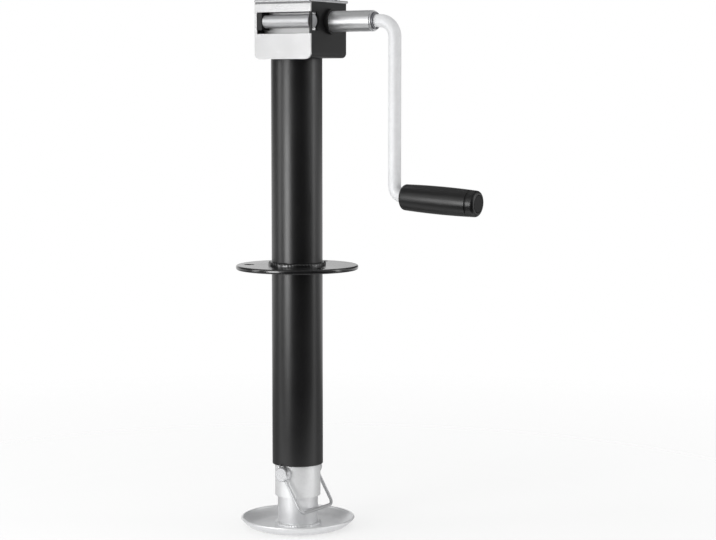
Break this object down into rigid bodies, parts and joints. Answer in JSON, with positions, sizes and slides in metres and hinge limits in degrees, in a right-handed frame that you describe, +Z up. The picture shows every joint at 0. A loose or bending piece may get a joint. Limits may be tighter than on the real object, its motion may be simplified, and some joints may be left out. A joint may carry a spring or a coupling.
{
  "type": "trailer jack",
  "caption": "A-frame trailer jack: flanged drop tube, side crank with bevel-gear head and lead screw, telescoping ram and removable dished foot held by a pin with a wire bail",
  "frame": {"origin": "centre of the foot plate's underside, on the tube axis", "axes": "+Z up along the tube, +X towards the crank, -Y towards the plated front of the gear head"},
  "size_m": [0.2974, 0.137, 0.5935],
  "materials": {
    "tube_paint": "satin black powder coat",
    "flange_paint": "satin black powder coat",
    "housing_paint": "satin black powder coat",
    "cap_paint": "black",
    "cover_zinc": "bright zinc plated sheet",
    "lid_zinc": "bright zinc plated sheet",
    "bar_zinc": "bright zinc plated bar",
    "screw_zinc": "bright zinc plated",
    "sleeve_zinc": "bright zinc plated tube",
    "bushing_zinc": "plated flanged bushing",
    "crank_zinc": "bright zinc plated rod",
    "ram_zinc": "bright zinc plated tube",
    "socket_zinc": "bright zinc plated tube",
    "foot_zinc": "bright zinc plated pressing",
    "pin_zinc": "zinc plated pin",
    "bail_wire": "plated spring wire",
    "bronze": "sintered bronze",
    "gear_steel": "greased gear steel",
    "screw_steel": "greased rolled steel",
    "turned_steel": "turned steel",
    "washer_steel": "stamped steel",
    "bearing_steel": "hardened and ground",
    "ball_steel": "polished",
    "cage_steel": "stamped steel",
    "spring_steel": "phosphated spring steel",
    "grip_plastic": "black moulded plastic",
    "cap_plastic": "black moulded plastic"
  },
  "bodies": {
    "frame": {"outer_tube": "tube_paint", "mounting_flange": "flange_paint", "bearing_seat": "turned_steel", "upper_race": "bearing_steel", "gear_housing": "housing_paint", "front_cover": "cover_zinc", "cover_bar": "bar_zinc", "bar_cap": "cap_paint", "top_lid": "lid_zinc", "lid_screws": "screw_zinc", "gear_washer": "washer_steel", "shaft_sleeve": "sleeve_zinc", "inner_bushing": "bronze", "outer_bushing": "bushing_zinc", "neck_bushing": "bushing_zinc"},
    "crank": {"crank_rod": "crank_zinc", "bevel_pinion": "gear_steel", "pinion_pin": "turned_steel", "neck_washer": "washer_steel", "neck_snap_ring": "spring_steel", "sleeve_snap_ring": "spring_steel", "push_nut": "spring_steel"},
    "hand_grip": {"grip": "grip_plastic", "grip_cap": "cap_plastic"},
    "screw": {"lead_screw": "screw_steel", "lower_race": "bearing_steel", "crown_gear": "gear_steel", "crown_gear_pin": "turned_steel", "stop_washer": "washer_steel", "stop_pin": "turned_steel"},
    "bearing_cage": {"bearing_balls": "ball_steel", "ball_cage": "cage_steel"},
    "ram": {"ram_tube": "ram_zinc", "ram_nut": "bronze", "foot_socket": "socket_zinc", "foot_plate": "foot_zinc"},
    "foot_pin_set": {"foot_pin": "pin_zinc", "pin_bail": "bail_wire"}
  },
  "joints": [
    {"name": "crank_turn", "type": "hinge", "parent": "frame", "child": "crank", "pos_m": [0, 0, 0.567], "axis": [-1, 0, 0], "range_deg": [0, 54000]},
    {"name": "screw_turn", "type": "hinge", "parent": "frame", "child": "screw", "pos_m": [0, 0, 0.3], "axis": [0, 0, -1], "range_deg": [0, 27000]},
    {"name": "cage_turn", "type": "hinge", "parent": "frame", "child": "bearing_cage", "pos_m": [0, 0, 0.5153], "axis": [0, 0, -1], "range_deg": [0, 13500]},
    {"name": "ram_travel", "type": "slide", "parent": "frame", "child": "ram", "axis": [0, 0, -1], "range_m": [0, 0.381]},
    {"name": "grip_spin", "type": "hinge", "parent": "crank", "child": "hand_grip", "pos_m": [0.126, 0, 0.378], "axis": [0.9985, 0, -0.0541], "continuous": true},
    {"name": "bail_swing", "type": "hinge", "parent": "ram", "child": "foot_pin_set", "pos_m": [0, 0, 0.0645], "axis": [0, -1, 0], "range_deg": [0, 105]}
  ],
  "couplings": [
    {"joint": "screw_turn", "follows": "crank_turn", "ratio": 0.5},
    {"joint": "cage_turn", "follows": "crank_turn", "ratio": 0.25},
    {"joint": "ram_travel", "follows": "crank_turn", "m_per_rad": 0.00040425}
  ]
}
